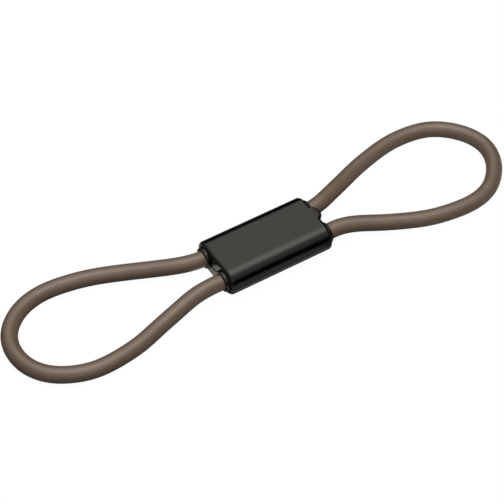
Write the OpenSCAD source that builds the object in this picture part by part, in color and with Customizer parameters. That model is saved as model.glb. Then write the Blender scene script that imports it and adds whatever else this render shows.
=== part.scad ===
// Window restrictor cable: a ring of jacketed steel rope that a flat clamp housing draws into two eyes.
// Frame in millimetres: +X along the housing to the right loop, +Y to the rear, +Z up,
// origin on the surface it lies on, under the middle of the housing.

/* [Housing] */
// Length over the bowed ends
body_l = 42.2; // [40:0.2:50]
// Width over the round sides
body_w = 24.2; // [23:0.2:30]
// Height of the two closed half shells
body_h = 11; // [10.4:0.2:14]
// Wall of the half shells
wall = 1.6; // [1.2:0.1:2]
// Thickness of the end walls at the middle
end_wall = 3.2; // [3:0.1:4]
// How far each end bows out at the middle
end_bow = 0.3; // [0.2:0.1:1.5]
// Rounding of the end walls' top and bottom edges
edge_r = 1.2; // [0.6:0.1:1.4]
// Thickness of the ribs across the inside
rib_t = 1.4; // [1:0.1:1.8]
// Thickness of the spine along the inside
spine_t = 4; // [3.4:0.1:4.8]

/* [Thumb tab] */
// Width of the thumb tab where it leaves the cover's end
tab_w = 6.2; // [5:0.1:7]
// Reach of the thumb tab beyond the end
tab_out = 1.8; // [1.4:0.1:2.5]
// Thickness of the thumb tab
tab_t = 1.8; // [1.4:0.1:2.4]
// Rounding of the thumb tab's edges
tab_edge = 0.6; // [0.3:0.1:0.6]

/* [Alignment pegs] */
// Diameter of the cover's pegs
peg_d = 2.2; // [1.6:0.1:2.6]
// Length of the pegs below the cover's rim
peg_l = 2.4; // [1.5:0.1:3]
// Distance between the two pegs
peg_gap = 24; // [20:0.5:26]
// Clearance of a peg in its socket, on the radius
peg_fit = 0.06; // [0.04:0.01:0.1]

/* [Cable] */
// Diameter over the jacket
cable_d = 6; // [5.4:0.1:6.4]
// Diameter of the wire rope inside the jacket
rope_d = 4; // [3:0.1:4.4]
// Distance between the two strands at the ports
strand_gap = 12.6; // [12.4:0.1:13.2]
// Length of each strand's neck, next to its grommet
neck_l = 3.6; // [3:0.1:4.2]
// Radius at which the rear strands bend outwards in their necks
rear_bend_r = 17; // [14:1:40]
// Length of jacket left on each strand inside the end wall
tail_l = 7; // [5:0.2:7.4]
// Clearance between rope and jacket, on the radius
jacket_fit = 0.05; // [0.02:0.01:0.1]

/* [Grommets] */
// Diameter of the collar that shows round each strand
collar_d = 8; // [7.4:0.1:8.4]
// Reach of the collar beyond the end wall
collar_out = 1.2; // [0.8:0.1:1.8]
// Rounding of the collar's outer edge
collar_r = 0.6; // [0.3:0.05:0.7]
// Diameter of the flange that holds the grommet in its groove
flange_d = 9.2; // [8.8:0.1:9.4]
// Thickness of the flange
flange_t = 1; // [0.8:0.1:1.2]
// Clearance round grommets, jackets and ropes in the shells, on the radius
seat_fit = 0.1; // [0.06:0.01:0.1]

/* [Crimp sleeves] */
// Outer diameter of the crimp sleeves
sleeve_d = 7; // [6.4:0.1:7.2]
// Length of the crimp sleeves
sleeve_l = 15; // [12:0.5:16]
// Clearance of the rope in a crimped sleeve, on the radius
crimp_fit = 0.02; // [0.01:0.01:0.05]
// Gap between the two rope ends inside the splice sleeve
butt_gap = 0.4; // [0.2:0.1:1]

/* [Hidden] */
$fn = 64;

shell_black = "#1c1c1b";
collar_black = "#101010";
cable_taupe = "#85776b";
rope_steel = "#b4b8ba";
sleeve_grey = "#9a9da0";
left = -1;
right = 1;
front = -1;
rear = 1;
// How far a cut runs past the faces that it opens
margin = 1;
// How far the end walls' rounding would pass the flat faces that it runs into
edge_over = 0.02;
// Facets of the full circles that the bowed ends are arcs of
bow_facets = 180;

split_z = body_h / 2;
strand_y = strand_gap / 2;
end_arc = (pow(body_w / 2, 2) + pow(end_bow, 2)) / (2 * end_bow);
tab_arc = (pow(tab_w / 2, 2) + pow(tab_out, 2)) / (2 * tab_out);
inner_x = body_l / 2 - end_wall;
port_x = body_l / 2 - end_arc + sqrt(pow(end_arc, 2) - pow(strand_y, 2));
collar_x = port_x + collar_out;
loop_x = collar_x + neck_l;
rear_turn = neck_l / rear_bend_r * 180 / PI;
rear_loop_x = collar_x + rear_bend_r * sin(rear_turn);
rear_loop_y = strand_y + rear_bend_r * (1 - cos(rear_turn));
tail_x = inner_x - tail_l;
flange_x = inner_x + (port_x - inner_x - flange_t) / 2;
jacket_bore = rope_d + 2 * jacket_fit;
stop_rib_x = sleeve_l / 2 + seat_fit + rib_t / 2;
saddle_rib_x = (tail_x + inner_x) / 2;

// Sides of the cable's solid
cable_sides = 12;
// Cable centreline, chosen by hand, between the two necks of each loop: the distance from the
// housing's middle, the place across it and the height. It starts at the front port and ends at the rear one.
left_route = [
    [33, -6.75, 5], [41, -8.5, 4], [50, -11, 3.25], [59, -13.75, 3], [68, -15.25, 3],
    [77, -15.25, 3], [85, -12.75, 3], [91, -8.75, 3], [95, -3.25, 3], [96.75, 4.75, 3],
    [95, 12.75, 3], [91, 18, 3], [85, 22, 3], [77, 24, 3], [68, 23.5, 3],
    [59, 21.5, 3], [50, 18, 3.25], [41, 13.5, 4], [33, 9.25, 5]
];
right_route = [
    [33, -7.75, 5], [41, -11, 4], [50, -14.75, 3.25], [59, -18, 3], [68, -19.75, 3],
    [77, -20, 3], [85, -17.75, 3], [91, -13.25, 3], [95.5, -7, 3], [97.5, 1, 3],
    [95.5, 8.75, 3], [91, 14.75, 3], [85, 19, 3], [77, 21, 3], [68, 21, 3],
    [59, 19.25, 3], [50, 16.5, 3.25], [41, 12.75, 4], [33, 9.25, 5]
];

// Cable path and swept solids

// A whole loop's centreline, from the end of the front neck to the end of the rear neck
function loop_path(side, route) = [
    [side * loop_x, front * strand_y, split_z],
    for (p = route) [side * p[0], p[1], p[2]],
    [side * rear_loop_x, rear * rear_loop_y, split_z]
];

function unit(v) = v / norm(v);

// Direction of the path at a point; the ends go on from the necks
function heading(path, i, side) =
    i == 0 ? [side, 0, 0] :
    i == len(path) - 1 ? [-side * cos(rear_turn), -sin(rear_turn), 0] :
    unit(path[i + 1] - path[i - 1]);

// One ring of points round the path
function ring(path, i, side, r) =
    let (along = heading(path, i, side))
    let (across = unit(cross([0, 0, 1], along)))
    let (above = cross(along, across))
    [for (k = [0:cable_sides - 1]) path[i] + r * (cos(360 * k / cable_sides) * across
        + sin(360 * k / cable_sides) * above)];

function rings(path, side, r) = [for (i = [0:len(path) - 1]) each ring(path, i, side, r)];

// Triangles between successive rings whose points start at a given number
function skin(count, start, outward) = [
    for (i = [0:count - 2], k = [0:cable_sides - 1])
        let (a = start + i * cable_sides + k)
        let (b = start + i * cable_sides + (k + 1) % cable_sides)
        let (c = a + cable_sides)
        let (d = b + cable_sides)
        each outward ? [[a, b, d], [a, d, c]] : [[a, d, b], [a, c, d]]
];

// Flat ring of triangles between an outer and an inner ring of points
function rim(outer, inner, first) = [
    for (k = [0:cable_sides - 1])
        let (a = outer + k)
        let (b = outer + (k + 1) % cable_sides)
        let (c = inner + k)
        let (d = inner + (k + 1) % cable_sides)
        each first ? [[a, d, b], [a, c, d]] : [[a, b, d], [a, d, c]]
];

module swept_tube(path, side, outer_r, inner_r) {
    count = len(path);
    held = count * cable_sides;
    last = held - cable_sides;
    polyhedron(
        points = concat(rings(path, side, outer_r), rings(path, side, inner_r)),
        faces = concat(skin(count, 0, true), skin(count, held, false),
            rim(0, held, true), rim(last, held + last, false)),
        convexity = 6);
}

module swept_rod(path, side, r) {
    count = len(path);
    last = (count - 1) * cable_sides;
    start_cap = [for (k = [1:cable_sides - 2]) [0, k + 1, k]];
    end_cap = [for (k = [1:cable_sides - 2]) [last, last + k, last + k + 1]];
    polyhedron(
        points = rings(path, side, r),
        faces = concat(skin(count, 0, true), start_cap, end_cap),
        convexity = 6);
}

// Round pieces that lie along X

module rod_x(from_x, to_x, d) {
    translate([from_x, 0, 0]) rotate([0, 90, 0]) cylinder(h = to_x - from_x, d = d);
}

module tube_x(from_x, to_x, d, bore) {
    difference() {
        rod_x(from_x, to_x, d);
        rod_x(from_x - margin, to_x + margin, bore);
    }
}

// Moves children from the X axis on to a strand, with +X turned to point out of the housing on that side
module on_strand(side, row) {
    translate([0, row * strand_y, split_z]) mirror([side == left ? 1 : 0, 0, 0]) children();
}

// The bend of a rear neck, with its children as the section
module neck_bend() {
    translate([collar_x, rear_bend_r, 0]) rotate([0, 0, -90]) rotate_extrude(angle = rear_turn)
        translate([rear_bend_r, 0]) children();
}

// Housing

// A disc with its rim rounded above and below
module rounded_disc(r, h, edge) {
    rotate_extrude($fn = bow_facets) {
        square([r - edge, h]);
        translate([0, edge]) square([r, h - 2 * edge]);
        for (z = [edge, h - edge]) translate([r - edge, z]) circle(edge);
    }
}

// Flat section with full-round sides
module housing_section(inset) {
    side_r = body_h / 2 - inset;
    side_y = body_w / 2 - body_h / 2;
    square([2 * side_y, 2 * side_r], center = true);
    for (row = [front, rear]) translate([row * side_y, 0]) circle(side_r);
}

module housing_prism(length, inset) {
    translate([-length / 2, 0, split_z]) rotate([90, 0, 90]) linear_extrude(length) housing_section(inset);
}

// The large disc that one bowed end is an arc of, with a rounding that crosses the flat faces
module end_disc() {
    core_r = end_arc - edge_r - edge_over;
    rotate_extrude($fn = bow_facets) {
        translate([0, -margin]) square([core_r, body_h + 2 * margin]);
        translate([0, edge_r]) square([end_arc, body_h - 2 * edge_r]);
        for (z = [edge_r, body_h - edge_r]) translate([core_r, z]) circle(edge_r + edge_over);
    }
}

module housing_solid() {
    intersection() {
        housing_prism(body_l, 0);
        translate([end_arc - body_l / 2, 0, 0]) end_disc();
        translate([body_l / 2 - end_arc, 0, 0]) end_disc();
    }
}

module hollow_housing() {
    difference() {
        housing_solid();
        housing_prism(2 * inner_x, wall);
    }
    intersection() {
        housing_prism(2 * inner_x + margin, wall / 2);
        frame_ribs();
    }
}

// Ribs that hold the strands, and the spine that carries the pegs
module frame_ribs() {
    for (side = [left, right], x = [stop_rib_x, saddle_rib_x])
        translate([side * x - rib_t / 2, -body_w / 2, 0]) cube([rib_t, body_w, body_h]);
    translate([-body_l / 2, -spine_t / 2, 0]) cube([body_l, spine_t, body_h]);
}

// Space that one end of one strand takes from the shells
module strand_space() {
    rod_x(inner_x - margin, body_l, collar_d + 2 * seat_fit);
    rod_x(flange_x - seat_fit, flange_x + flange_t + seat_fit, flange_d + 2 * seat_fit);
    rod_x(tail_x - seat_fit, body_l, cable_d + 2 * seat_fit);
    rod_x(-margin, body_l, rope_d + 2 * seat_fit);
    rod_x(-margin, sleeve_l / 2 + seat_fit, sleeve_d + 2 * seat_fit);
}

module half_shell(from_z) {
    difference() {
        intersection() {
            hollow_housing();
            translate([-body_l, -body_w, from_z]) cube([2 * body_l, 2 * body_w, split_z]);
        }
        for (side = [left, right], row = [front, rear]) on_strand(side, row) strand_space();
    }
}

module pegs(d, length) {
    for (side = [left, right])
        translate([side * peg_gap / 2, 0, split_z - length]) cylinder(h = length, d = d);
}

module upper_half_shell() {
    color(shell_black) {
        half_shell(split_z);
        translate([body_l / 2 + tab_out - tab_arc, 0, body_h - tab_t]) rounded_disc(tab_arc, tab_t, tab_edge);
        pegs(peg_d, peg_l);
    }
}

module lower_half_shell() {
    color(shell_black) difference() {
        half_shell(0);
        pegs(peg_d + 2 * peg_fit, peg_l + peg_fit);
    }
}

// Grommets

module grommet() {
    length = collar_x - inner_x;
    bore_r = cable_d / 2 + jacket_fit;
    collar_wall = collar_d / 2 - bore_r;
    lip_r = min(collar_r, collar_wall);
    color(collar_black) translate([inner_x, 0, 0]) rotate([0, 90, 0]) rotate_extrude() {
        difference() {
            translate([bore_r, 0]) square([collar_wall, length]);
            translate([collar_d / 2 - lip_r, length - lip_r]) difference() {
                square(lip_r + margin);
                circle(lip_r);
            }
        }
        translate([bore_r, flange_x - inner_x]) square([flange_d / 2 - bore_r, flange_t]);
    }
}

module left_front_grommet() { on_strand(left, front) grommet(); }
module left_rear_grommet() { on_strand(left, rear) grommet(); }
module right_front_grommet() { on_strand(right, front) grommet(); }
module right_rear_grommet() { on_strand(right, rear) grommet(); }

// Crimp sleeves

module crimp_sleeve() {
    color(sleeve_grey) tube_x(-sleeve_l / 2, sleeve_l / 2, sleeve_d, rope_d + 2 * crimp_fit);
}

module rear_splice_sleeve() { on_strand(right, rear) crimp_sleeve(); }
module front_stop_sleeve() { on_strand(right, front) crimp_sleeve(); }

// Cable inside the housing and in the ports

module jacket_tail() { color(cable_taupe) tube_x(tail_x, collar_x, cable_d, jacket_bore); }
module front_neck() { color(cable_taupe) tube_x(collar_x, loop_x, cable_d, jacket_bore); }
module rear_neck() {
    color(cable_taupe) neck_bend() difference() {
        circle(d = cable_d);
        circle(d = jacket_bore);
    }
}

module left_front_jacket_tail() { on_strand(left, front) jacket_tail(); }
module left_rear_jacket_tail() { on_strand(left, rear) jacket_tail(); }
module right_front_jacket_tail() { on_strand(right, front) jacket_tail(); }
module right_rear_jacket_tail() { on_strand(right, rear) jacket_tail(); }
module left_front_jacket_neck() { on_strand(left, front) front_neck(); }
module left_rear_jacket_neck() { on_strand(left, rear) rear_neck(); }
module right_front_jacket_neck() { on_strand(right, front) front_neck(); }
module right_rear_jacket_neck() { on_strand(right, rear) rear_neck(); }

module rope_end() {
    color(rope_steel) {
        rod_x(butt_gap / 2, collar_x, rope_d);
        neck_bend() circle(d = rope_d);
    }
}
module left_rear_rope_end() { on_strand(left, rear) rope_end(); }
module right_rear_rope_end() { on_strand(right, rear) rope_end(); }
module front_rope_run() { color(rope_steel) on_strand(right, front) rod_x(-loop_x, loop_x, rope_d); }

// Free loops

module loop_jacket(side, route) {
    color(cable_taupe) swept_tube(loop_path(side, route), side, cable_d / 2, jacket_bore / 2);
}

module loop_rope(side, route) {
    color(rope_steel) swept_rod(loop_path(side, route), side, rope_d / 2);
}

module left_loop_jacket() { loop_jacket(left, left_route); }
module right_loop_jacket() { loop_jacket(right, right_route); }
module left_loop_rope() { loop_rope(left, left_route); }
module right_loop_rope() { loop_rope(right, right_route); }

upper_half_shell();
lower_half_shell();
left_front_grommet();
left_rear_grommet();
right_front_grommet();
right_rear_grommet();
rear_splice_sleeve();
front_stop_sleeve();
left_front_jacket_tail();
left_rear_jacket_tail();
right_front_jacket_tail();
right_rear_jacket_tail();
left_front_jacket_neck();
left_rear_jacket_neck();
right_front_jacket_neck();
right_rear_jacket_neck();
front_rope_run();
left_rear_rope_end();
right_rear_rope_end();
left_loop_jacket();
right_loop_jacket();
left_loop_rope();
right_loop_rope();
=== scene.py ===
"""Window restrictor cable: two jacketed rope eyes in a glossy clamp housing, dressed for a studio picture."""

import math

import bmesh
import bpy
import numpy as np
from mathutils import Matrix, Vector


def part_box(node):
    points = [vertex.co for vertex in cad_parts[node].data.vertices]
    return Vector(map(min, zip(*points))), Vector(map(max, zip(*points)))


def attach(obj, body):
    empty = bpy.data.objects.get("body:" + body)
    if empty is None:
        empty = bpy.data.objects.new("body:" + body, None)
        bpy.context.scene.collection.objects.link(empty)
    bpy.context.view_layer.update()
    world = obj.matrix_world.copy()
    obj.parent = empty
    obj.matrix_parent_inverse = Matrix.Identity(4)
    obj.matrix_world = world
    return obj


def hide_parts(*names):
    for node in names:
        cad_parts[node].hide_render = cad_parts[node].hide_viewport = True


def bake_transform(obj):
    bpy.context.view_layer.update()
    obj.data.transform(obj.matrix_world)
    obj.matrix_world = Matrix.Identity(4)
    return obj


bl_info = {
    "name": "Window restrictor cable",
    "version": (1, 0, 0),
    "blender": (4, 5, 0),
    "location": "View3D > Sidebar > Restrictor",
    "description": "Builds a window restrictor cable piece by piece, with its finishes and a studio stage",
    "category": "Add Mesh",
}

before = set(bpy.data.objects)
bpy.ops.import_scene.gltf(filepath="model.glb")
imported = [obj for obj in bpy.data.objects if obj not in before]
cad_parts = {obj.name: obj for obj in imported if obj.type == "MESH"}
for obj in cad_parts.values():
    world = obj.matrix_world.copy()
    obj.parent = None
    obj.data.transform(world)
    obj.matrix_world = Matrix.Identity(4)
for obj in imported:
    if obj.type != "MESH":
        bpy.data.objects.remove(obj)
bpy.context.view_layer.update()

MM = 0.001
LEFT, RIGHT = -1, 1
FRONT, REAR = -1, 1
SIDE_NAMES = {LEFT: "left", RIGHT: "right"}
ROW_NAMES = {FRONT: "front", REAR: "rear"}
PORTS = [(side, row) for side in (LEFT, RIGHT) for row in (FRONT, REAR)]

# Cable centrelines between the necks, in millimetres: distance from the middle, place across and height.
LEFT_ROUTE = (
    (33, -6.75, 5), (41, -8.5, 4), (50, -11, 3.25), (59, -13.75, 3),
    (68, -15.25, 3), (77, -15.25, 3), (85, -12.75, 3), (91, -8.75, 3),
    (95, -3.25, 3), (96.75, 4.75, 3), (95, 12.75, 3), (91, 18, 3),
    (85, 22, 3), (77, 24, 3), (68, 23.5, 3), (59, 21.5, 3),
    (50, 18, 3.25), (41, 13.5, 4), (33, 9.25, 5),
)
RIGHT_ROUTE = (
    (33, -7.75, 5), (41, -11, 4), (50, -14.75, 3.25), (59, -18, 3),
    (68, -19.75, 3), (77, -20, 3), (85, -17.75, 3), (91, -13.25, 3),
    (95.5, -7, 3), (97.5, 1, 3), (95.5, 8.75, 3), (91, 14.75, 3),
    (85, 19, 3), (77, 21, 3), (68, 21, 3), (59, 19.25, 3),
    (50, 16.5, 3.25), (41, 12.75, 4), (33, 9.25, 5),
)
ROUTES = {LEFT: LEFT_ROUTE, RIGHT: RIGHT_ROUTE}

# Fine sizes: clearances, peg ends, crimps, half the splice's gap, and how deep in a collar the seams lie.
PEG_FIT = 0.06 * MM
GROMMET_FIT = 0.05 * MM
CRIMP_FIT = 0.02 * MM
PEG_ROOT = 0.6 * MM
PEG_TIP = 0.4 * MM
SLEEVE_CHAMFER = 0.4 * MM
CRIMP_PLACES = (-0.55, 0, 0.55)
CRIMP_REACH = 1.5 * MM
CRIMP_FLATS = 6
CRIMP_EVEN = 0.35
BUTT_GAP = 0.2 * MM
SEAM_DEPTH = 0.9 * MM
STRANDS = 6

# Fineness of the meshes: points that are merged, points round and along the pieces, and steps of the paths.
MERGE = 0.001 * MM
JACKET_SIDES, GROMMET_SIDES, PEG_SIDES, SLEEVE_SIDES, STRAND_SIDES = 40, 64, 32, 72, 10
TAB_POINTS, RIM_POINTS, TIP_POINTS, BEAD_POINTS, SLEEVE_POINTS = 49, 9, 6, 15, 121
TAIL_POINTS, NECK_POINTS, FLOOR_POINTS, SPLINE_POINTS = 16, 8, 9, 40
LOOP_STEP = 0.75 * MM
ROPE_STEP = 0.5 * MM

# Half shells' grid: points over the flat and the cavity, degrees between rows on the round sides, shares of
# the end wall's thickness and height, angles round its edge, half a step's width as a length, share and
# angle, half a peg window's width as a share of the peg's, and the slack in which a point counts as in it.
FLAT_POINTS, CAVITY_POINTS, ROUND_STEP = 34, 5, 3
WALL_SHARES = (0.25, 0.8, 1)
WALL_DROPS = (0, 0.3, 0.6, 0.85, 0.97)
EDGE_ANGLES = (4, 18, 27, 36, 45, 54, 63, 72, 81, 90)
HAIR = 0.008 * MM
HAIR_SHARE = 0.004
HAIR_ANGLE = 0.003
WINDOW_SHARE = 0.7
WINDOW_SLACK = 0.002 * MM

# Camera: the angle that its view is turned to the right, its height above the horizon, and where it looks.
VIEW_TURN = math.radians(31.9)
VIEW_HEIGHT = math.radians(48.3)
VIEW_DISTANCE = 0.63505
LOOK_AT = (-0.00569, -0.00015, 0.0055)
LENS, SENSOR, NEAREST = 128.6, 36, 0.01
AWAY = (math.sin(VIEW_TURN), math.cos(VIEW_TURN), 0)
RIGHTWARD = (math.cos(VIEW_TURN), -math.sin(VIEW_TURN), 0)

# Mirrored light: bands over the part's own length. Each has its share of full strength at an angle, in
# degrees, from the horizon behind the part over the top to the one in front, and its share by the place from
# the part's left, -1, to its right, 1.
TOP_BAND = (
    (10, 0), (20, 0.02), (29, 0.13), (39, 0.38), (48, 0.46), (55, 0.47), (63, 0.57), (72, 0.76), (80, 0.93),
    (88, 1), (95, 1), (103, 0.83), (111, 0.54), (119, 0.3), (126, 0.21), (143, 0.2), (155, 0.05), (166, 0),
)
TOP_SIDES = (
    (-1, 0.05), (-0.7, 0.1), (-0.3, 0.5), (0.1, 0.9), (0.3, 1), (0.4, 1), (0.46, 0.4), (0.54, 0.06),
    (0.62, 0), (1, 0),
)
FRONT_BAND = ((100, 0), (125, 1), (166, 1), (174, 0))
FRONT_SIDES = ((-1, 0.14), (0.1, 0.14), (0.2, 0), (0.6, 0), (0.75, 0.07), (1, 0.07))
BACK_BAND = ((8, 0), (14, 0.12), (36, 0.12), (46, 0))
BACK_SIDES = ((-1, 1), (0.1, 1), (0.2, 0))
MIRRORED = ((TOP_BAND, TOP_SIDES), (FRONT_BAND, FRONT_SIDES), (BACK_BAND, BACK_SIDES))
LIGHT_TINT = (1.0, 0.96, 0.89)
LIGHT_STRENGTH = 2.6

# Lamps: where each hangs, the point that it shines on, its width, its watts and whether gloss shows it.
LAMPS = {
    "overhead_lamp": ((0, 0, 0.8), (0, 0, 0), 0.5, 5.1, False),
    "front_lamp": ((-0.2, -0.6, 0.5), (0, 0, 0), 0.5, 1.3, False),
    "right_lamp": ((0.6, 0, 0.5), (0, 0, 0), 0.5, 0.9, False),
    "left_end_card": ((-0.024, 0.001, 0.0003), (-0.024, 0.001, 1), 0.009, 0.00011, True),
}

# Floor: the share of light that it sends back on to the part, by the place across the part and along it.
FLOOR_REACH = 12
BOUNCE_ACROSS = (
    (-0.09, 0), (-0.05, 0.32), (-0.014, 0.45), (-0.006, 0.4), (0.02, 0.35), (0.05, 0.2), (0.09, 0),
)
BOUNCE_ALONG = ((-0.04, 0.5), (-0.022, 1), (0.018, 1), (0.026, 0.4), (0.045, 0.5), (0.06, 1))
SHADOW_DEPTH = 0.04
FLOOR_GLOW = 0.975


def low(node, axis):
    """Lowest place of a CAD node along an axis, in metres."""
    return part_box(node)[0]["xyz".index(axis)]


def high(node, axis):
    """Highest place of a CAD node along an axis, in metres."""
    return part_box(node)[1]["xyz".index(axis)]


def middle(node, axis):
    """Middle of a CAD node's box along an axis, in metres."""
    return (low(node, axis) + high(node, axis)) / 2


def linear(code):
    """Linear red, green and blue of an sRGB hex colour."""
    channels = np.array([int(code[i:i + 2], 16) for i in (1, 3, 5)]) / 255
    dark, bright = channels / 12.92, ((channels + 0.055) / 1.055) ** 2.4
    return tuple(np.where(channels <= 0.04045, dark, bright).tolist())


def length_setting(name, description, default):
    """A length that the user can change."""
    return bpy.props.FloatProperty(name=name, description=description, default=default, unit="LENGTH",
                                   subtype="DISTANCE", precision=5, min=0)


def colour_setting(name, description, code):
    """A colour that the user can change."""
    return bpy.props.FloatVectorProperty(name=name, description=description, default=linear(code), size=3,
                                         subtype="COLOR", min=0, max=1)


# Settings


class HousingSizes(bpy.types.PropertyGroup):
    """Sizes of the two half shells"""
    half_length: length_setting("Half length", "From the middle to the end", high("lower_half_shell", "x"))
    half_width: length_setting("Half width", "From the middle to a round side", high("lower_half_shell", "y"))
    half_height: length_setting("Half height", "Height of one half shell", high("lower_half_shell", "z"))
    end_bow: length_setting("End bow", "How far each end bows out at its middle", 0.3 * MM)
    edge_round: length_setting("Edge rounding", "Rounding all round each end", 1.2 * MM)
    wall: length_setting("Wall", "Wall of the half shells", 1.6 * MM)
    rib: length_setting("Rib", "Thickness of the cross ribs inside", 1.4 * MM)
    spine: length_setting("Spine", "Thickness of the spine inside", 4.0 * MM)
    joint_line: length_setting("Joint line", "Depth of the groove between the half shells", 0.22 * MM)
    fit: length_setting("Fit", "Clearance round what the shells hold", 0.1 * MM)
    tab_width: length_setting("Tab width", "Width of the thumb tab at the end", 6.2 * MM)
    tab_thickness: length_setting("Tab thickness", "Thickness of the thumb tab", 1.8 * MM)
    tab_edge: length_setting("Tab rounding", "Rounding of the thumb tab's rim", 0.8 * MM)
    peg: length_setting("Peg", "Diameter of the cover's pegs", 2.2 * MM)
    peg_place: length_setting("Peg place", "Distance of a peg from the middle", 12.0 * MM)


class CableSizes(bpy.types.PropertyGroup):
    """Sizes of the cable, its grommets and its crimp sleeves"""
    jacket: length_setting("Jacket", "Diameter over the jacket", 6.0 * MM)
    jacket_bore: length_setting("Jacket bore", "Bore of the jacket", 4.1 * MM)
    rope: length_setting("Rope", "Diameter of the wire rope", 4.0 * MM)
    rope_lay: length_setting("Rope lay", "Length of one turn of a strand", 26.0 * MM)
    strand_place: length_setting("Strand place", "Distance of a strand from the middle",
                                 middle("left_rear_grommet", "y"))
    rear_bend: length_setting("Rear bend", "Radius at which the rear strands bend in their necks", 17.0 * MM)
    collar: length_setting("Collar", "Diameter of a grommet's collar", 8.0 * MM)
    collar_reach: length_setting("Collar reach", "How far a collar stands out of the end wall", 1.2 * MM)
    flange: length_setting("Flange", "Diameter of a grommet's flange",
                           high("left_rear_grommet", "z") - low("left_rear_grommet", "z"))
    flange_thickness: length_setting("Flange thickness", "Thickness of a grommet's flange", 1.0 * MM)
    sleeve: length_setting("Sleeve", "Diameter of a crimp sleeve",
                           high("rear_splice_sleeve", "z") - low("rear_splice_sleeve", "z"))
    crimp: length_setting("Crimp", "Depth of the crimp marks", 0.3 * MM)


class Finishes(bpy.types.PropertyGroup):
    """Colours of the pieces"""
    shell: colour_setting("Shells", "Polished plastic of the half shells", "#030303")
    grommet: colour_setting("Grommets", "Rubber of the grommets", "#0a0a0a")
    jacket: colour_setting("Jacket", "Soft plastic of the cable's jacket", "#69594d")
    rope: colour_setting("Rope", "Zinc-plated steel of the wire rope", "#b4b8ba")
    sleeve: colour_setting("Sleeves", "Aluminium of the crimp sleeves", "#c4c6c8")
    floor: colour_setting("Floor", "Board that the part lies on", "#f4f3f1")


# Meshes


def grid_faces(rows, columns, wrap, start):
    """Quads of a grid of points numbered row by row from start; wrap joins the last column to the first."""
    i = np.arange(rows - 1)[:, None]
    j = np.arange(columns if wrap else columns - 1)[None, :]
    beside = (j + 1) % columns
    corners = (i * columns + j, (i + 1) * columns + j, (i + 1) * columns + beside, i * columns + beside)
    return start + np.stack(corners, axis=-1).reshape(-1, 4)


def make_piece(name, patches, sharp_degrees=35, uv=None):
    """One mesh object from patches, each a grid of points, its wrap flag and a mask of quads to leave out.
    Points that meet are merged, faces are turned outwards, and edges over the sharp angle stay crisp."""
    points, faces, start = [], [], 0
    for grid, wrap, left_out in patches:
        quads = grid_faces(grid.shape[0], grid.shape[1], wrap, start)
        faces.append(quads if left_out is None else quads[~left_out.reshape(-1)])
        points.append(grid.reshape(-1, 3))
        start += len(points[-1])
    mesh = bpy.data.meshes.new(name)
    mesh.from_pydata(np.concatenate(points).tolist(), [], np.concatenate(faces).tolist())
    if uv is not None:
        layer = mesh.uv_layers.new(name="UVMap")
        corner_points = np.empty(len(mesh.loops), int)
        mesh.loops.foreach_get("vertex_index", corner_points)
        layer.data.foreach_set("uv", uv[corner_points].astype(np.float32).reshape(-1))
    work = bmesh.new()
    work.from_mesh(mesh)
    bmesh.ops.remove_doubles(work, verts=work.verts, dist=MERGE)
    bmesh.ops.dissolve_degenerate(work, edges=work.edges, dist=MERGE / 2)
    bmesh.ops.recalc_face_normals(work, faces=work.faces)
    work.to_mesh(mesh)
    work.free()
    mesh.shade_smooth()
    mesh.set_sharp_from_angle(angle=math.radians(sharp_degrees))
    piece = bpy.data.objects.new(name, mesh)
    bpy.context.scene.collection.objects.link(piece)
    return piece


def dress(piece, material, slot, body, *nodes):
    """Gives a piece its material, lets it ride on a body and stand for CAD nodes; the slot is not used."""
    piece.data.materials.append(material)
    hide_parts(*nodes)
    if body is not None:
        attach(piece, body)


def round_angles(sides):
    """Equal angles once round, in radians."""
    return np.linspace(0, 2 * np.pi, sides, endpoint=False)


def lathe(axial, radius, sides):
    """A profile turned round the X axis: (x, r cos a, r sin a) for every profile point and angle.
    A profile point may have a radius of its own at each angle."""
    turn = round_angles(sides)
    axial, radius = np.reshape(axial, (-1, 1)), np.reshape(radius, (len(axial), -1))
    return np.stack(np.broadcast_arrays(axial, radius * np.cos(turn), radius * np.sin(turn)), axis=-1)


def along_x(places):
    """Points on the X axis at these places."""
    return np.stack((places, 0 * places, 0 * places), axis=-1)


def on_strand(points, side, row, cable):
    """Points made along +X moved on to a strand, with X pointing out of the housing on that side."""
    split = bpy.context.scene.restrictor_housing.half_height
    return points * (side, 1, 1) + (0, row * cable.strand_place, split)


def run_length(path):
    """Distance along a path at each of its points."""
    return np.concatenate(([0], np.cumsum(np.linalg.norm(np.diff(path, axis=0), axis=1))))


def smooth_route(knots, first_heading, last_heading, spacing):
    """A clamped cubic spline through the knots, against chord length, at equal steps of arc length.
    Each span is the Hermite cubic whose end slopes make the whole curve's bend continuous."""
    count = len(knots)
    chord = np.diff(knots, axis=0)
    span = np.linalg.norm(chord, axis=1)
    rate = chord / span[:, None]
    matrix, target = np.eye(count), np.empty((count, 3))
    inner = np.arange(1, count - 1)
    matrix[inner, inner - 1], matrix[inner, inner + 1] = span[1:], span[:-1]
    matrix[inner, inner] = 2 * (span[:-1] + span[1:])
    target[inner] = 3 * (span[1:, None] * rate[:-1] + span[:-1, None] * rate[1:])
    target[0], target[-1] = first_heading, last_heading
    slope = np.linalg.solve(matrix, target)
    place = run_length(knots)
    along = np.linspace(0, place[-1], SPLINE_POINTS * count)
    k = np.clip(np.searchsorted(place, along, side="right") - 1, 0, count - 2)
    t, s = ((along - place[k]) / span[k])[:, None], span[k][:, None]
    fine = ((1 + 2 * t) * (1 - t) ** 2 * knots[k] + t * (1 - t) ** 2 * s * slope[k]
            + t ** 2 * (3 - 2 * t) * knots[k + 1] - t ** 2 * (1 - t) * s * slope[k + 1])
    run = run_length(fine)
    even = np.linspace(0, run[-1], max(2, round(run[-1] / spacing) + 1))
    return np.stack([np.interp(even, run, fine[:, axis]) for axis in range(3)], axis=-1)


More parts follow.
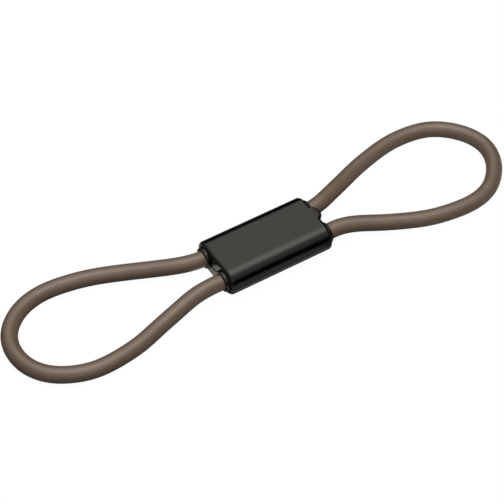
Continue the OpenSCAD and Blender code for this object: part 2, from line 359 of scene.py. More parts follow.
def path_frame(path):
    """Directions square to a path at each of its points: across it, which is level, and above it."""
    along = np.gradient(path, axis=0)
    along /= np.linalg.norm(along, axis=1)[:, None]
    across = np.cross((0.0, 0.0, 1.0), along)
    across /= np.linalg.norm(across, axis=1)[:, None]
    return across, np.cross(along, across)


def sweep(path, radius, sides):
    """A round section carried along a path: centre + r (cos a across + sin a above) at every path point."""
    across, above = path_frame(path)
    turn = round_angles(sides)[:, None]
    return path[:, None] + radius * (np.cos(turn) * across[:, None] + np.sin(turn) * above[:, None])


def jacket_tube(path, cable):
    """The jacket with its bore: the outer sweep, then the inner one back from the far rim to the near rim."""
    skin, lining = (sweep(path, width / 2, JACKET_SIDES) for width in (cable.jacket, cable.jacket_bore))
    return np.concatenate((skin, lining[::-1], skin[:1]))


def tube_uv(grid, path):
    """Map of a jacket tube in metres: round the section, then along the path and back."""
    along = run_length(path)
    along = np.concatenate((along, along[::-1], along[:1]))
    girth = np.linalg.norm(grid[0, 0] - grid[0, 1]) * np.arange(grid.shape[1])
    return np.stack(np.broadcast_arrays(girth[None, :], along[:, None]), axis=-1).reshape(-1, 2)


# Materials


def connect(node, values=None, links=None):
    """Sets the values of a node's sockets and joins its other sockets to what they come from."""
    for socket, value in (values or {}).items():
        node.inputs[socket].default_value = value
    for socket, source in (links or {}).items():
        node.id_data.links.new(source, node.inputs[socket])
    return node


def add_node(tree, kind, settings=None, values=None, links=None):
    """Adds a node with its own settings, its sockets' values and the sockets that its inputs come from."""
    node = tree.nodes.new(kind)
    for field, value in (settings or {}).items():
        setattr(node, field, value)
    return connect(node, values, links)


def new_material(name):
    """An empty material with its node tree, its principled shader and its texture coordinates."""
    material = bpy.data.materials.new(name)
    material.use_nodes = True
    tree = material.node_tree
    return material, tree, tree.nodes["Principled BSDF"], add_node(tree, "ShaderNodeTexCoord")


def set_stops(node, source, stops):
    """Fills a colour ramp with levels at rising places, and brings its source to the ramp's own 0 to 1."""
    first, last = stops[0][0], stops[-1][0]
    place = add_node(node.id_data, "ShaderNodeMapRange", {}, {"From Min": first, "From Max": last},
                     {"Value": source})
    connect(node, {}, {"Fac": place.outputs["Result"]})
    while len(node.color_ramp.elements) < len(stops):
        node.color_ramp.elements.new(0.5)
    for element, (where, level) in zip(node.color_ramp.elements, stops):
        element.position = (where - first) / (last - first)
        element.color = (level, level, level, 1)


def per_mm(size):
    """Scale of a noise in metres whose grains are about this many millimetres across."""
    return 1 / (size * MM)


def roughen(shader, pattern, rough, relief, strength, depth, span=(0, 1)):
    """Gives a shader a roughness between two values that follows a pattern over a span of its levels, and a
    relief of a strength and of a depth in millimetres that follows another pattern."""
    dull = add_node(shader.id_data, "ShaderNodeMapRange", {},
                    {"From Min": span[0], "From Max": span[1], "To Min": rough[0], "To Max": rough[1]},
                    {"Value": pattern})
    bump = add_node(shader.id_data, "ShaderNodeBump", {}, {"Strength": strength, "Distance": depth * MM},
                    {"Height": relief})
    connect(shader, {}, {"Roughness": dull.outputs["Result"], "Normal": bump.outputs["Normal"]})


def polished_abs(colour):
    """Injection-moulded ABS from a polished tool."""
    # Mirror gloss over deep black, with a faint orange peel and soft wipe marks that dull it in places.
    material, tree, shader, place = new_material("polished_black_abs")
    peel = add_node(tree, "ShaderNodeTexNoise", {}, {"Scale": per_mm(2.4), "Detail": 2},
                    {"Vector": place.outputs["Object"]})
    stretch = add_node(tree, "ShaderNodeMapping", {}, {"Scale": (0.25, 1, 1)},
                       {"Vector": place.outputs["Object"]})
    wipe = add_node(tree, "ShaderNodeTexNoise", {}, {"Scale": per_mm(1.5), "Detail": 5},
                    {"Vector": stretch.outputs["Vector"]})
    connect(shader, {"Base Color": (*colour, 1), "IOR": 1.53})
    roughen(shader, wipe.outputs["Fac"], (0.11, 0.16), peel.outputs["Fac"], 0.06, 0.03, span=(0.3, 0.75))
    return material


def moulded_rubber(colour):
    """Compression-moulded black rubber."""
    # Black with a soft shine and a fine, even tooth.
    material, tree, shader, place = new_material("moulded_black_rubber")
    tooth = add_node(tree, "ShaderNodeTexNoise", {}, {"Scale": per_mm(0.25), "Detail": 3},
                     {"Vector": place.outputs["Object"]})
    connect(shader, {"Base Color": (*colour, 1), "IOR": 1.52})
    roughen(shader, tooth.outputs["Fac"], (0.06, 0.14), tooth.outputs["Fac"], 0.08, 0.02)
    return material


def extruded_pvc(colour):
    """Soft PVC extruded over wire rope."""
    # Satin taupe with a broad soft shine, faint cloudiness and fine die lines along the cable.
    material, tree, shader, place = new_material("satin_taupe_pvc")
    cloud = add_node(tree, "ShaderNodeTexNoise", {}, {"Scale": per_mm(4), "Detail": 3},
                     {"Vector": place.outputs["Object"]})
    tint = add_node(tree, "ShaderNodeValToRGB", {}, {}, {"Fac": cloud.outputs["Fac"]})
    for element, where, share in zip(tint.color_ramp.elements, (0.3, 0.7), (0.93, 1.06)):
        element.position = where
        element.color = (*(share * c for c in colour), 1)
    grain = add_node(tree, "ShaderNodeTexNoise", {}, {"Scale": per_mm(0.3), "Detail": 4},
                     {"Vector": place.outputs["Object"]})
    stretch = add_node(tree, "ShaderNodeMapping", {}, {"Scale": (1, 0.02, 1)},
                       {"Vector": place.outputs["UV"]})
    lines = add_node(tree, "ShaderNodeTexNoise", {}, {"Scale": per_mm(0.6), "Detail": 2},
                     {"Vector": stretch.outputs["Vector"]})
    relief = add_node(tree, "ShaderNodeMath", {"operation": "ADD"}, {},
                      {0: grain.outputs["Fac"], 1: lines.outputs["Fac"]})
    connect(shader, {"IOR": 1.6, "Specular IOR Level": 0.6}, {"Base Color": tint.outputs["Color"]})
    roughen(shader, grain.outputs["Fac"], (0.38, 0.46), relief.outputs["Value"], 0.12, 0.03)
    return material


def zinc_wire(colour):
    """Drawn, zinc-plated steel wire laid into strands."""
    # Bright grey metal whose wires show as slanting ridges, duller where the zinc has bloomed.
    # A wave counts 20 radians to its unit, so a ridge is 2 pi times 0.45 mm: coarser than a wire, to show.
    material, tree, shader, place = new_material("zinc_plated_wire")
    slant = add_node(tree, "ShaderNodeMapping", {}, {"Rotation": (0, 0, math.radians(28))},
                     {"Vector": place.outputs["UV"]})
    wires = add_node(tree, "ShaderNodeTexWave", {"wave_type": "BANDS", "bands_direction": "X"},
                     {"Scale": 1 / (20 * 0.45 * MM), "Distortion": 0}, {"Vector": slant.outputs["Vector"]})
    bloom = add_node(tree, "ShaderNodeTexNoise", {}, {"Scale": per_mm(0.8), "Detail": 4},
                     {"Vector": place.outputs["Object"]})
    connect(shader, {"Base Color": (*colour, 1), "Metallic": 1})
    roughen(shader, bloom.outputs["Fac"], (0.28, 0.5), wires.outputs["Fac"], 0.7, 0.15)
    return material


def pressed_aluminium(colour):
    """Soft aluminium tube pressed by a crimping die."""
    # Pale grey metal with drawing lines along it and a slightly rough, pressed skin.
    material, tree, shader, place = new_material("pressed_aluminium")
    stretch = add_node(tree, "ShaderNodeMapping", {}, {"Scale": (0.04, 1, 1)},
                       {"Vector": place.outputs["Object"]})
    lines = add_node(tree, "ShaderNodeTexNoise", {}, {"Scale": per_mm(0.3), "Detail": 4},
                     {"Vector": stretch.outputs["Vector"]})
    connect(shader, {"Base Color": (*colour, 1), "Metallic": 1})
    roughen(shader, lines.outputs["Fac"], (0.28, 0.46), lines.outputs["Fac"], 0.25, 0.03)
    return material


def white_board(colour):
    """Matt white board of the stage."""
    # The eye sees it almost white. What it throws back on to the part fades across it and varies along it.
    material, tree, shader, place = new_material("matt_white_board")
    spot = add_node(tree, "ShaderNodeSeparateXYZ", {}, {}, {0: place.outputs["Object"]})
    across, along = add_node(tree, "ShaderNodeValToRGB"), add_node(tree, "ShaderNodeValToRGB")
    set_stops(across, spot.outputs["Y"], BOUNCE_ACROSS)
    set_stops(along, spot.outputs["X"], BOUNCE_ALONG)
    level = add_node(tree, "ShaderNodeMath", {"operation": "MULTIPLY"}, {},
                     {0: across.outputs["Color"], 1: along.outputs["Color"]})
    bounce = add_node(tree, "ShaderNodeBsdfDiffuse", {}, {}, {"Color": level.outputs["Value"]})
    connect(shader, {"Base Color": (*(SHADOW_DEPTH * c for c in colour), 1), "Roughness": 1,
                     "Specular IOR Level": 0, "Emission Color": (1, 1, 1, 1),
                     "Emission Strength": FLOOR_GLOW})
    ray = add_node(tree, "ShaderNodeLightPath")
    both = add_node(tree, "ShaderNodeMixShader", {}, {},
                    {0: ray.outputs["Is Camera Ray"], 1: bounce.outputs["BSDF"], 2: shader.outputs["BSDF"]})
    connect(tree.nodes["Material Output"], {}, {"Surface": both.outputs["Shader"]})
    return material


FINISHED = {}


def finish(kind, name):
    """The material of one of the finishes, made at its first use."""
    label = kind.__name__
    if label not in FINISHED:
        FINISHED[label] = kind(tuple(getattr(bpy.context.scene.restrictor_finishes, name)))
    return FINISHED[label]


# Half shells


def shell_rows(housing, cable):
    """Places across a half shell, from the front joint edge to the rear one, close together where the form
    turns. They hold the edges of every channel, and those of the spine and cavity as rows a hair apart."""
    height, flat = housing.half_height, housing.half_width - housing.half_height
    widths = np.array((cable.rope, cable.jacket, cable.sleeve, cable.collar, cable.flange))
    reach = widths / 2 + housing.fit
    rounds = flat + height * np.cos(np.radians(np.arange(0, 90, ROUND_STEP)))
    groove_start = flat + np.sqrt(height ** 2 - housing.joint_line ** 2)
    edges = np.array((housing.spine / 2, flat + height - housing.wall))
    places = np.concatenate((np.linspace(0, flat, FLAT_POINTS), rounds, (groove_start, peg_window(housing)),
                             cable.strand_place - reach, cable.strand_place + reach,
                             edges - HAIR, edges + HAIR))
    places = np.unique(places.round(7))
    return np.concatenate((-places[:0:-1], places))


def peg_window(housing):
    """Half width of the square patch of spine that each peg socket sits in."""
    return WINDOW_SHARE * housing.peg


def flange_place(cable):
    """Distances from the middle between which a grommet's flange lies, half way through the end wall."""
    start, end = low("right_rear_grommet", "x"), high("right_rear_grommet", "x") - cable.collar_reach
    return (start + end - cable.flange_thickness) / 2, (start + end + cable.flange_thickness) / 2


def shell_columns(housing, cable):
    """Places along half a shell: the distance from the middle up to the end wall, the share of the way from
    there to the end's rounding, and the angle round it; with the channel's radius and whether the cavity is
    open."""
    both = np.array((-1, 1))
    wall_start, tail = low("right_rear_grommet", "x"), low("right_rear_jacket_tail", "x")
    stop = high("rear_splice_sleeve", "x") + housing.fit
    saddle = (tail + wall_start) / 2 - housing.rib / 2
    steps = np.array((stop, stop + housing.rib, tail - housing.fit, saddle, saddle + housing.rib, wall_start))
    window = housing.peg_place + both * peg_window(housing)
    cavity = np.linspace(0, stop, CAVITY_POINTS)[:-1]
    fixed = np.sort(np.concatenate((cavity, steps - HAIR, steps + HAIR, window)))
    place = np.searchsorted(steps, fixed)
    widths = (cable.sleeve, cable.rope, cable.rope, cable.jacket, cable.jacket, cable.jacket, cable.collar)
    open_space = np.array((True, False, True, True, False, True, False))
    flange_in, flange_out = flange_place(cable)
    slope = end_place(cable.strand_place, housing) - housing.edge_round - wall_start
    groove_share = (flange_in - housing.fit - wall_start) / slope
    groove_angle = math.asin((flange_out + housing.fit - wall_start - slope) / housing.edge_round)
    share = np.sort(np.append(WALL_SHARES, groove_share + both * HAIR_SHARE))
    angle = np.sort(np.append(np.radians(EDGE_ANGLES), groove_angle + both * HAIR_ANGLE))
    end_widths = np.concatenate((np.where(share > groove_share, cable.flange, cable.collar),
                                 np.where(angle < groove_angle, cable.flange, cable.collar)))
    blank, end = np.zeros(len(fixed)), np.zeros(len(end_widths))
    return (np.concatenate((fixed, end + wall_start)),
            np.concatenate((blank, share, np.ones(len(angle)))),
            np.concatenate((blank, 0 * share, angle)),
            np.concatenate((np.array(widths)[place], end_widths)) / 2 + housing.fit,
            np.concatenate((open_space[place], np.zeros_like(end, bool))))


def end_place(y, housing):
    """Distance of the bowed end from the middle at a place across: an arc through its middle and corners."""
    arc = (housing.half_width ** 2 + housing.end_bow ** 2) / (2 * housing.end_bow)
    return housing.half_length - arc + np.sqrt(arc ** 2 - y ** 2)


def channel_height(y, radius, cable):
    """Height of the round strand channels over the joint plane: the root of r squared less offset squared."""
    return np.sqrt(np.maximum(radius ** 2 - (np.abs(y) - cable.strand_place) ** 2, 0))


def shell_patches(housing, cable):
    """Surfaces of a half shell above the joint plane z = 0: the outside with its rounded ends, the two end
    walls below them, and the inside with its cavity, ribs, spine and channels. The outside is the section
    moved inwards along its normal by e (1 - cos a) and outwards along X by e sin a round each end's edge of
    radius e."""
    rows = shell_rows(housing, cable)
    mirrored = (np.concatenate((half[:0:-1], half)) for half in shell_columns(housing, cable))
    fixed, share, angle, radius, open_space = (places[:, None] for places in mirrored)
    sign = np.where(np.arange(len(fixed)) < len(fixed) // 2, LEFT, RIGHT)[:, None]
    height, flat = housing.half_height, housing.half_width - housing.half_height
    edge, groove = housing.edge_round, housing.joint_line
    lean = np.clip((np.abs(rows) - flat) / height, 0, 1) * np.sign(rows)
    rise = np.sqrt(1 - lean ** 2)
    drawn_in = edge * (1 - np.cos(angle))
    y = rows - lean * drawn_in
    z = height * rise - rise * drawn_in
    x = fixed + share * (end_place(y, housing) - edge - fixed[-1]) + edge * np.sin(angle)
    cut = np.maximum(groove - z, 0)
    outside = np.stack((sign * (x - cut * np.sin(angle)), y - cut * lean * np.cos(angle), z), axis=-1)
    bottom = channel_height(y[-1], radius[-1], cable)
    drop = z[-1] + np.array(WALL_DROPS)[:, None] * (np.minimum(bottom + groove, z[-1]) - z[-1])
    drop = np.concatenate((drop, bottom[None]))
    wall_x = end_place(y[-1], housing) - np.maximum(groove - (drop - bottom), 0)
    right_wall = np.stack((wall_x, np.broadcast_to(y[-1], drop.shape), drop), axis=-1)
    right_wall[0] = outside[-1]
    left_wall = right_wall * (-1, 1, 1)
    room = height - housing.wall
    hollow = np.sqrt(np.maximum(room ** 2 - np.maximum(np.abs(y) - flat, 0) ** 2, 0))
    hollow = np.where(open_space & (np.abs(y) > housing.spine / 2), hollow, 0)
    inside = outside.copy()
    inside[..., 2] = np.maximum(hollow, channel_height(y, radius, cable))
    inside[0], inside[-1] = left_wall[-1], right_wall[-1]
    return outside, left_wall, right_wall, inside


def peg_socket(rows, columns, depth, housing):
    """A square patch of spine with a round socket: the square's edge, the socket's mouth, wall and floor."""
    x, y = columns - housing.peg_place, rows
    square = np.concatenate((np.stack((x[:-1], np.full(len(x) - 1, y[0])), -1),
                             np.stack((np.full(len(y) - 1, x[-1]), y[:-1]), -1),
                             np.stack((x[:0:-1], np.full(len(x) - 1, y[-1])), -1),
                             np.stack((np.full(len(y) - 1, x[0]), y[:0:-1]), -1)))
    mouth = square / np.linalg.norm(square, axis=1)[:, None] * (housing.peg / 2 + PEG_FIT)
    rings = np.stack((square, mouth, mouth, 0 * mouth))
    height = np.array((0, 0, depth, depth))[:, None, None] + 0 * rings[..., :1]
    return np.concatenate((rings + (housing.peg_place, 0), height), axis=-1)


def thumb_tab(housing):
    """The cover's tongue: a rounded rim profile carried round an arc, its top and underside drawn back to a
    chord. Each end of the arc is drawn together to a point inside the shell."""
    reach = high("upper_half_shell", "x") - housing.half_length
    arc = ((housing.tab_width / 2) ** 2 + reach ** 2) / (2 * reach)
    centre = housing.half_length + reach - arc
    chord = housing.half_length - housing.edge_round
    edge, top = housing.tab_edge, housing.half_height
    turn = np.linspace(-0.5, 0.5, TAB_POINTS) * 2 * math.acos((chord - centre) / arc)
    bend = np.linspace(0, np.pi / 2, RIM_POINTS)
    rim_in = np.concatenate((1 - np.sin(bend), 1 - np.cos(bend))) * edge
    rim_down = np.concatenate((1 - np.cos(bend), housing.tab_thickness / edge - 1 + np.sin(bend))) * edge
    x = centre + (arc - rim_in)[:, None] * np.cos(turn)
    y = (arc - rim_in)[:, None] * np.sin(turn)
    z = np.broadcast_to((top - rim_down)[:, None], x.shape)
    rim = np.stack((np.maximum(x, chord), y, z), axis=-1)
    over, under = rim[:1].copy(), rim[-1:].copy()
    over[..., 0] = under[..., 0] = chord
    tongue = np.concatenate((over, rim, under, over))
    start, end = (np.broadcast_to(tongue[:, k].mean(axis=0), tongue[:, :1].shape) for k in (0, -1))
    return np.concatenate((start, tongue, end), axis=1)


def peg(side, length, housing):
    """A peg of the cover: a rod with a rounded tip, turned round its own axis."""
    r = housing.peg / 2
    bend = np.linspace(0, np.pi / 2, TIP_POINTS)
    axial = np.concatenate(((-PEG_ROOT, -PEG_ROOT), length - PEG_TIP + PEG_TIP * np.sin(bend), (length,)))
    radius = np.concatenate(((0, r), r - PEG_TIP + PEG_TIP * np.cos(bend), (0,)))
    turned = lathe(axial, radius, PEG_SIDES)
    return turned[..., (1, 2, 0)] * (1, 1, -1) + (side * housing.peg_place, 0, 0)


def make_upper_shell(housing, cable):
    """The cover with its thumb tab and its two pegs."""
    length = housing.half_height - low("upper_half_shell", "z")
    patches = [(grid, False, None) for grid in shell_patches(housing, cable)]
    patches.append((thumb_tab(housing), False, None))
    patches += [(peg(side, length, housing), True, None) for side in (LEFT, RIGHT)]
    lift = (0, 0, housing.half_height)
    return make_piece("cover_shell", [(grid + lift, wrap, out) for grid, wrap, out in patches])


def make_lower_shell(housing, cable):
    """The base with its two peg sockets."""
    outside, left_wall, right_wall, inside = shell_patches(housing, cable)
    depth = housing.half_height - low("upper_half_shell", "z") + PEG_FIT
    window = peg_window(housing) + WINDOW_SLACK
    x, y = inside[:, inside.shape[1] // 2, 0], inside[inside.shape[0] // 2, :, 1]
    in_x = np.abs(np.abs(x) - housing.peg_place) < window
    in_y = np.abs(y) < window
    left_out = (in_x[:-1] & in_x[1:])[:, None] & (in_y[:-1] & in_y[1:])[None, :]
    socket = peg_socket(y[in_y], x[in_x & (x > 0)], depth, housing)
    patches = [(outside, False, None), (left_wall, False, None), (right_wall, False, None),
               (inside, False, left_out), (socket, True, None), (socket * (-1, 1, 1), True, None)]
    flip, lift = (1, 1, -1), (0, 0, housing.half_height)
    return make_piece("base_shell", [(grid * flip + lift, wrap, out) for grid, wrap, out in patches])


# Cable, grommets, rope and sleeves


def collar_place():
    """Distance from the middle at which the strands leave their collars."""
    return high("right_rear_jacket_tail", "x")


def neck_place():
    """Distance from the middle at which the front necks end, and about which the loops turn."""
    return high("right_front_jacket_neck", "x")


def port_place():
    """Distance from the middle at which the seam between loop and tail lies, inside a grommet's collar."""
    return collar_place() - SEAM_DEPTH


def neck_bend(share, cable):
    """Places at shares of a rear neck's bend: distances from the middle and from the strand's line."""
    turn = share * (neck_place() - collar_place()) / cable.rear_bend
    return collar_place() + cable.rear_bend * np.sin(turn), cable.rear_bend * (1 - np.cos(turn))


def loop_knots(side, housing, cable):
    """Knots of one loop between its grommets: the straight front neck, the route and the bent rear neck."""
    port, collar = port_place(), collar_place()
    level, across = housing.half_height, cable.strand_place
    rear_x, rear_y = neck_bend(1, cable)
    front = [(port, -across, level), (collar, -across, level), (neck_place(), -across, level)]
    rear = [(rear_x, across + rear_y, level), (collar, across, level), (port, across, level)]
    return np.concatenate((front, np.array(ROUTES[side]) * MM, rear)) * (side, 1, 1)


def make_loop(side, housing, cable):
    """One jacketed loop: a hollow tube along the smooth route."""
    name = SIDE_NAMES[side]
    path = smooth_route(loop_knots(side, housing, cable), (side, 0, 0), (-side, 0, 0), LOOP_STEP)
    path[:, 2] = np.maximum(path[:, 2], cable.jacket / 2)
    tube = jacket_tube(path, cable)
    piece = make_piece("%s_cable_loop" % name, [(tube, True, None)], uv=tube_uv(tube, path))
    dress(piece, finish(extruded_pvc, "jacket"), "cable_jacket", None, "%s_loop_jacket" % name,
          "%s_front_jacket_neck" % name, "%s_rear_jacket_neck" % name)
    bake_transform(piece)


def make_tail(side, row, cable):
    """The jacket left on a strand inside the housing, with its cut end."""
    name = "%s_%s" % (SIDE_NAMES[side], ROW_NAMES[row])
    path = along_x(np.linspace(low("right_rear_jacket_tail", "x"), port_place(), TAIL_POINTS))
    tube = jacket_tube(path, cable)
    piece = make_piece("%s_cable_tail" % name, [(on_strand(tube, side, row, cable), True, None)],
                       uv=tube_uv(tube, path))
    dress(piece, finish(extruded_pvc, "jacket"), "cable_jacket", "housing", "%s_jacket_tail" % name)


def make_grommet(side, row, cable):
    """A grommet, turned whole: a sleeve with a flange, and a round bead whose mouth opens from the cable."""
    name = "%s_%s" % (SIDE_NAMES[side], ROW_NAMES[row])
    start, end = low("right_rear_grommet", "x"), high("right_rear_grommet", "x")
    bore, collar, flange = cable.jacket / 2 + GROMMET_FIT, cable.collar / 2, cable.flange / 2
    flange_in, flange_out = flange_place(cable)
    bead = (collar - bore) / 2
    turn = np.linspace(np.pi / 2, -np.pi / 2, BEAD_POINTS)
    bead_x, bead_r = end - bead + bead * np.cos(turn), bore + bead + bead * np.sin(turn)
    axial = np.concatenate(((start, start, flange_in, flange_in, flange_out, flange_out), bead_x, (start,)))
    radius = np.concatenate(((bore, collar, collar, flange, flange, collar), bead_r, (bore,)))
    turned = on_strand(lathe(axial, radius, GROMMET_SIDES), side, row, cable)
    piece = make_piece("%s_rubber_grommet" % name, [(turned, True, None)])
    dress(piece, finish(moulded_rubber, "grommet"), "grommet_rubber", "housing", "%s_grommet" % name)


def make_sleeve(row, name, node, cable):
    """A crimp sleeve: a tube whose wall is pressed in by six flats in three bands, with turned-in rims.
    The radius is r less the crimp's depth times the band's bell curve times e + (1 - e) (1 + cos 6a) / 2,
    where e is the share that is pressed in all round."""
    reach, bore = high(node, "x"), cable.rope / 2 + CRIMP_FIT
    axial = np.linspace(-reach + SLEEVE_CHAMFER, reach - SLEEVE_CHAMFER, SLEEVE_POINTS)
    bands = np.array(CRIMP_PLACES)[:, None] * reach
    press = np.exp(-((axial - bands) / CRIMP_REACH) ** 4).max(axis=0)
    flats = CRIMP_EVEN + (1 - CRIMP_EVEN) * (1 + np.cos(CRIMP_FLATS * round_angles(SLEEVE_SIDES))) / 2
    skin = cable.sleeve / 2 - cable.crimp * press[:, None] * flats
    rim = np.full((1, SLEEVE_SIDES), cable.sleeve / 2 - SLEEVE_CHAMFER)
    hole = np.full((1, SLEEVE_SIDES), bore)
    radius = np.concatenate((hole, rim, skin, rim, hole, hole))
    places = np.concatenate(((-reach, -reach), axial, (reach, reach, -reach)))
    tube = lathe(places, radius, SLEEVE_SIDES)
    piece = make_piece(name, [(on_strand(tube, RIGHT, row, cable), True, None)])
    dress(piece, finish(pressed_aluminium, "sleeve"), "crimp_aluminium", "housing", node)


def strand_tube(centre, radius):
    """A strand along a path, its two ends closed to points on the path."""
    tube = sweep(centre, radius, STRAND_SIDES)
    start, end = (np.broadcast_to(centre[k], tube[:1].shape) for k in (0, -1))
    return np.concatenate((start, tube, end))


def rope_patches(path, cable):
    """Strands of a wire rope and their map in metres: a core along the path, and tubes whose centres run in
    helices round it. Three strands lie side by side across the rope."""
    along, strand = run_length(path), cable.rope / 2 / 3
    across, above = path_frame(path)
    centres = [path]
    for k in range(STRANDS):
        turn = (2 * np.pi * (along / cable.rope_lay + k / STRANDS))[:, None]
        centres.append(path + 2 * strand * (np.cos(turn) * across + np.sin(turn) * above))
    girth = strand * round_angles(STRAND_SIDES)
    ends = np.concatenate((along[:1], along, along[-1:]))
    uv = np.stack(np.broadcast_arrays(girth[None, :], ends[:, None]), axis=-1).reshape(-1, 2)
    return [(strand_tube(centre, strand), True, None) for centre in centres], np.tile(uv, (len(centres), 1))


def make_rope(name, node, path, cable):
    """One stretch of stranded wire rope inside the housing."""
    patches, uv = rope_patches(path, cable)
    piece = make_piece(name, patches, sharp_degrees=60, uv=uv)
    dress(piece, finish(zinc_wire, "rope"), "wire_rope", "housing", node)


def straight_run(start, end, row, side, cable):
    """Points along a strand from one distance to another, half a millimetre apart."""
    places = np.linspace(start, end, max(2, round(abs(end - start) / ROPE_STEP) + 1))
    return on_strand(along_x(places), side, row, cable)


def rear_rope_path(side, cable):
    """A rear rope end: straight from the splice to its collar, then round the neck's bend."""
    run = straight_run(BUTT_GAP, collar_place(), REAR, side, cable)
    x, y = neck_bend(np.linspace(0, 1, NECK_POINTS)[1:], cable)
    return np.concatenate((run, on_strand(np.stack((x, y, 0 * x), axis=-1), side, REAR, cable)))


# Operators


class RESTRICTOR_OT_stage(bpy.types.Operator):
    """Sets the camera, the lights and the floor"""
    bl_idname = "restrictor.stage"
    bl_label = "Stage"

    def execute(self, context):
        self.place_camera(context.scene)
        self.light_dome(context.scene)
        self.hang_lamps(context.scene)
        self.lay_floor()
        return {"FINISHED"}

    def place_camera(self, scene):
        """A long lens from the front left, looking down at the part."""
        data = bpy.data.cameras.new("studio_camera")
        data.lens, data.sensor_width, data.clip_start = LENS, SENSOR, NEAREST
        camera = bpy.data.objects.new("studio_camera", data)
        up = Vector(AWAY) * math.sin(VIEW_HEIGHT) + Vector((0, 0, math.cos(VIEW_HEIGHT)))
        back = Vector(RIGHTWARD).cross(up)
        turn = Matrix((RIGHTWARD, up, back)).transposed()
        camera.matrix_world = Matrix.Translation(Vector(LOOK_AT) + VIEW_DISTANCE * back) @ turn.to_4x4()
        scene.collection.objects.link(camera)
        scene.camera = camera
        scene.view_settings.view_transform = "Standard"

    def light_dome(self, scene):
        """What gloss mirrors: soft bands whose strength follows the angle round the part's length and the
        side that they shine from. The lamps light what isn't glossy."""
        world = bpy.data.worlds.new("overhead_softbox")
        world.use_nodes = True
        tree = world.node_tree
        tree.nodes.clear()
        sky = add_node(tree, "ShaderNodeTexCoord")
        look = add_node(tree, "ShaderNodeSeparateXYZ", {}, {}, {0: sky.outputs["Generated"]})
        angle = add_node(tree, "ShaderNodeMath", {"operation": "ARCTAN2"}, {},
                         {0: look.outputs["Z"], 1: look.outputs["Y"]})
        degrees = add_node(tree, "ShaderNodeMath", {"operation": "DEGREES"}, {}, {0: angle.outputs["Value"]})
        level = add_node(tree, "ShaderNodeValue")
        level.outputs["Value"].default_value = 0
        for angles, shares in MIRRORED:
            band, sides = add_node(tree, "ShaderNodeValToRGB"), add_node(tree, "ShaderNodeValToRGB")
            set_stops(band, degrees.outputs["Value"], angles)
            set_stops(sides, look.outputs["X"], shares)
            level = add_node(tree, "ShaderNodeMath", {"operation": "MULTIPLY_ADD"}, {},
                             {0: band.outputs["Color"], 1: sides.outputs["Color"], 2: level.outputs["Value"]})
        strength = add_node(tree, "ShaderNodeMath", {"operation": "MULTIPLY"}, {1: LIGHT_STRENGTH},
                            {0: level.outputs["Value"]})
        dome = add_node(tree, "ShaderNodeBackground", {}, {"Color": (*LIGHT_TINT, 1)},
                        {"Strength": strength.outputs["Value"]})
        backdrop = add_node(tree, "ShaderNodeBackground", {}, {"Color": (1, 1, 1, 1), "Strength": 1})
        ray = add_node(tree, "ShaderNodeLightPath")
        both = add_node(tree, "ShaderNodeMixShader", {}, {}, {0: ray.outputs["Is Camera Ray"],
                                                             1: dome.outputs["Background"],
                                                             2: backdrop.outputs["Background"]})
        add_node(tree, "ShaderNodeOutputWorld", {}, {}, {"Surface": both.outputs["Shader"]})
        world.cycles_visibility.diffuse = False
        scene.world = world

    def hang_lamps(self, scene):
        """Round lamps that lighten the cable, and a small card that lights the end between its strands."""
        for name, (place, target, width, watts, in_gloss) in LAMPS.items():
            data = bpy.data.lights.new(name, "AREA")
            data.shape, data.size, data.energy, data.color = "DISK", width, watts, LIGHT_TINT
            lamp = bpy.data.objects.new(name, data)
            lamp.location = place
            lamp.rotation_euler = (Vector(place) - Vector(target)).to_track_quat("Z", "Y").to_euler()
            lamp.visible_camera, lamp.visible_glossy = False, in_gloss
            scene.collection.objects.link(lamp)

    def lay_floor(self):
        """A wide flat board with its top just under the part."""
        reach = np.linspace(-FLOOR_REACH, FLOOR_REACH, FLOOR_POINTS)
        x, y = np.meshgrid(reach, reach, indexing="ij")
        floor = make_piece("floor_board", [(np.stack((x, y, 0 * x), axis=-1), False, None)])
        if floor.data.polygons[0].normal.z < 0:
            floor.data.flip_normals()
        floor.data.materials.append(finish(white_board, "floor"))


class RESTRICTOR_OT_loops(bpy.types.Operator):
    """Makes the two jacketed loops"""
    bl_idname = "restrictor.loops"
    bl_label = "Cable loops"

    def execute(self, context):
        for side in (LEFT, RIGHT):
            make_loop(side, context.scene.restrictor_housing, context.scene.restrictor_cable)
            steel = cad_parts["%s_loop_rope" % SIDE_NAMES[side]]
            steel.data.materials.clear()
            steel.data.materials.append(finish(zinc_wire, "rope"))
        return {"FINISHED"}


class RESTRICTOR_OT_tails(bpy.types.Operator):
    """Makes the jacket tails inside the housing"""
    bl_idname = "restrictor.tails"
    bl_label = "Jacket tails"

    def execute(self, context):
        for side, row in PORTS:
            make_tail(side, row, context.scene.restrictor_cable)
        return {"FINISHED"}


class RESTRICTOR_OT_ropes(bpy.types.Operator):
    """Makes the wire rope inside the housing"""
    bl_idname = "restrictor.ropes"
    bl_label = "Wire rope"

    def execute(self, context):
        cable = context.scene.restrictor_cable
        end = high("front_rope_run", "x")
        make_rope("front_wire_rope", "front_rope_run", straight_run(-end, end, FRONT, RIGHT, cable), cable)
        for side in (LEFT, RIGHT):
            name = SIDE_NAMES[side]
            path = rear_rope_path(side, cable)
            make_rope("%s_rear_wire_rope" % name, "%s_rear_rope_end" % name, path, cable)
        return {"FINISHED"}


class RESTRICTOR_OT_sleeves(bpy.types.Operator):
    """Makes the two crimp sleeves"""
    bl_idname = "restrictor.sleeves"
    bl_label = "Crimp sleeves"

    def execute(self, context):
        cable = context.scene.restrictor_cable
        make_sleeve(REAR, "rear_crimp_sleeve", "rear_splice_sleeve", cable)
        make_sleeve(FRONT, "front_crimp_sleeve", "front_stop_sleeve", cable)
        return {"FINISHED"}


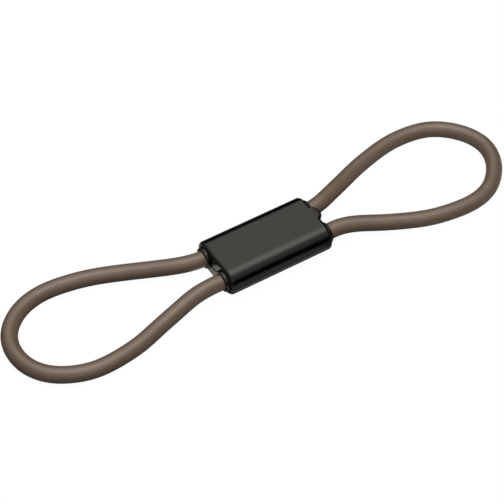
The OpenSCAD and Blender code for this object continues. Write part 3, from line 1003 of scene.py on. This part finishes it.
class RESTRICTOR_OT_grommets(bpy.types.Operator):
    """Makes the four grommets"""
    bl_idname = "restrictor.grommets"
    bl_label = "Grommets"

    def execute(self, context):
        for side, row in PORTS:
            make_grommet(side, row, context.scene.restrictor_cable)
        return {"FINISHED"}


class RESTRICTOR_OT_shells(bpy.types.Operator):
    """Makes the two half shells"""
    bl_idname = "restrictor.shells"
    bl_label = "Half shells"

    def execute(self, context):
        housing, cable = context.scene.restrictor_housing, context.scene.restrictor_cable
        plastic = finish(polished_abs, "shell")
        dress(make_upper_shell(housing, cable), plastic, "shell_plastic", "cover", "upper_half_shell")
        dress(make_lower_shell(housing, cable), plastic, "shell_plastic", "housing", "lower_half_shell")
        return {"FINISHED"}


OPERATORS = (RESTRICTOR_OT_stage, RESTRICTOR_OT_loops, RESTRICTOR_OT_tails, RESTRICTOR_OT_ropes,
             RESTRICTOR_OT_sleeves, RESTRICTOR_OT_grommets, RESTRICTOR_OT_shells)
SETTINGS = {
    "restrictor_housing": HousingSizes,
    "restrictor_cable": CableSizes,
    "restrictor_finishes": Finishes,
}


class RESTRICTOR_PT_panel(bpy.types.Panel):
    """Lists the pieces in the order in which they are made"""
    bl_idname = "RESTRICTOR_PT_panel"
    bl_label = "Window restrictor cable"
    bl_space_type = "VIEW_3D"
    bl_region_type = "UI"
    bl_category = "Restrictor"

    def draw(self, context):
        for group in SETTINGS:
            settings = getattr(context.scene, group)
            box = self.layout.box()
            for field in settings.bl_rna.properties.keys():
                if field not in ("rna_type", "name"):
                    box.prop(settings, field)
        for operator in OPERATORS:
            self.layout.operator(operator.bl_idname)


CLASSES = (*SETTINGS.values(), *OPERATORS, RESTRICTOR_PT_panel)


def register():
    for item in CLASSES:
        bpy.utils.register_class(item)
    for name, group in SETTINGS.items():
        setattr(bpy.types.Scene, name, bpy.props.PointerProperty(type=group))


def unregister():
    for name in SETTINGS:
        delattr(bpy.types.Scene, name)
    for item in reversed(CLASSES):
        bpy.utils.unregister_class(item)


def main():
    """Builds the stage and every piece in order."""
    register()
    bpy.ops.restrictor.stage()
    bpy.ops.restrictor.loops()
    bpy.ops.restrictor.tails()
    bpy.ops.restrictor.ropes()
    bpy.ops.restrictor.sleeves()
    bpy.ops.restrictor.grommets()
    bpy.ops.restrictor.shells()


if __name__ == "__main__":
    main()
